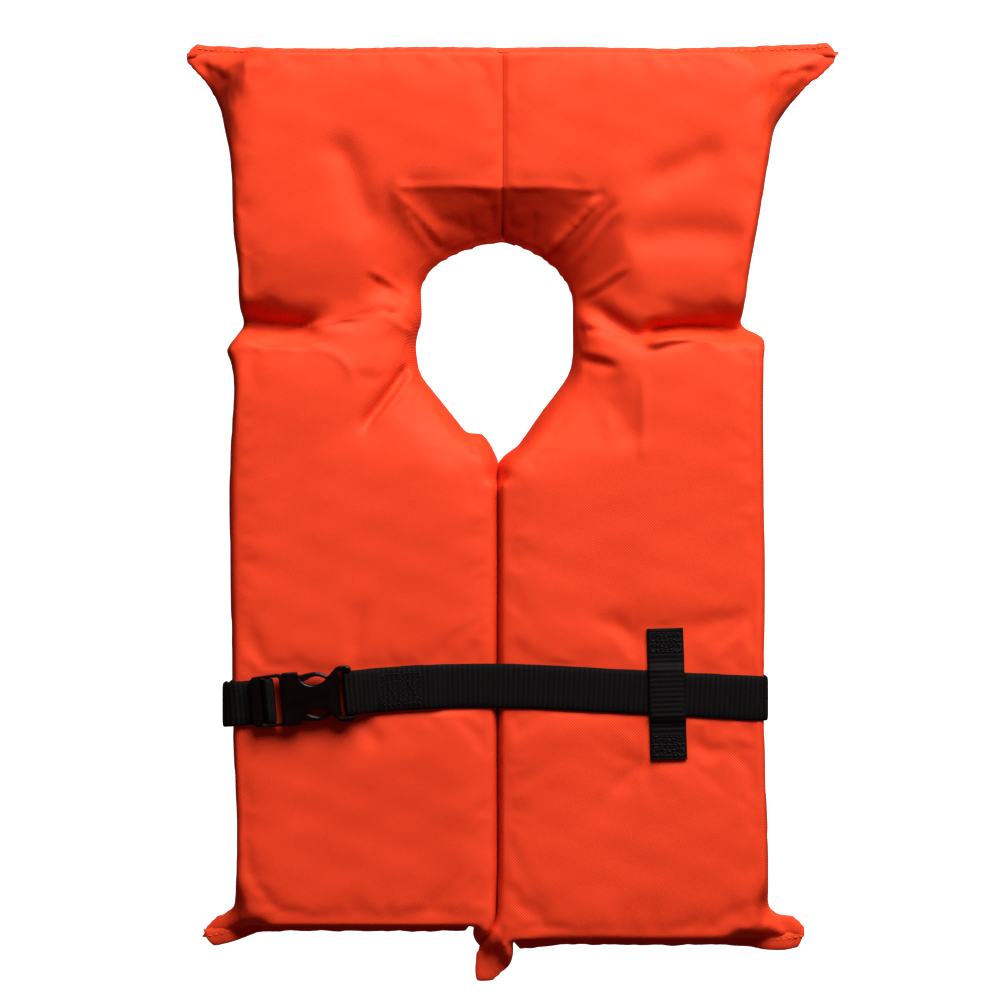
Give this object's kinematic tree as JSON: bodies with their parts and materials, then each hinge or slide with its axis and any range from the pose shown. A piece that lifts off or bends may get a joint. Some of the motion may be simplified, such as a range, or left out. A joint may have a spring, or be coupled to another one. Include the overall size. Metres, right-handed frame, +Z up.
{
  "type": "life jacket",
  "caption": "Keyhole yoke life jacket of orange nylon over foam slabs, with a black webbing belt, side-release buckle and keeper tab, lying flat.",
  "frame": {"origin": "centre of the object's box in X and Y, on the surface that it lies on", "axes": "+X across the jacket towards the side with the keeper tab, +Y from the hems to the headrest, +Z up through the outer face"},
  "size_m": [0.3778, 0.5386, 0.072],
  "materials": {
    "cover": "twill nylon, matte with a soft sheen",
    "foam": "closed-cell foam",
    "webbing": "ribbed woven webbing",
    "buckle": "satin moulded acetal"
  },
  "bodies": {
    "fronts": {"left_front_cover": "cover", "right_front_cover": "cover", "left_front_foam_1": "foam", "left_front_foam_2": "foam", "left_front_foam_3": "foam", "left_front_foam_4": "foam", "right_front_foam_1": "foam", "right_front_foam_2": "foam", "right_front_foam_3": "foam", "right_front_foam_4": "foam", "left_hem_lip": "cover", "right_hem_lip": "cover", "belt_webbing": "webbing", "belt_keeper_tab": "webbing", "buckle_female": "buckle"},
    "headrest": {"headrest_cover_left": "cover", "headrest_cover_right": "cover", "headrest_foam_1": "foam", "headrest_foam_2": "foam", "headrest_foam_3": "foam", "headrest_foam_4": "foam", "headrest_closure_lip": "cover"},
    "buckle_male": {"buckle_male": "buckle", "belt_adjuster_run": "webbing"},
    "buckle_arm_upper": {"buckle_arm_upper": "buckle"},
    "buckle_arm_lower": {"buckle_arm_lower": "buckle"}
  },
  "joints": [
    {"name": "headrest_fold", "type": "hinge", "parent": "fronts", "child": "headrest", "pos_m": [-0.00825, 0.1003, 0.036], "axis": [1, 0, 0], "range_deg": [0, 60]},
    {"name": "buckle_release", "type": "slide", "parent": "fronts", "child": "buckle_male", "axis": [-0.9952, -0.0976, 0], "range_m": [0, 0.026]},
    {"name": "arm_upper_squeeze", "type": "hinge", "parent": "buckle_male", "child": "buckle_arm_upper", "pos_m": [-0.12595, -0.09764, 0.067], "axis": [0, 0, -1], "range_deg": [0, 18.01]},
    {"name": "arm_lower_squeeze", "type": "hinge", "parent": "buckle_male", "child": "buckle_arm_lower", "pos_m": [-0.12381, -0.11953, 0.067], "axis": [0, 0, 1], "range_deg": [0, 18.01]}
  ],
  "couplings": [
    {"joint": "arm_upper_squeeze", "follows": "buckle_release", "rad_per_m": 12.083},
    {"joint": "arm_lower_squeeze", "follows": "buckle_release", "rad_per_m": 12.083}
  ]
}
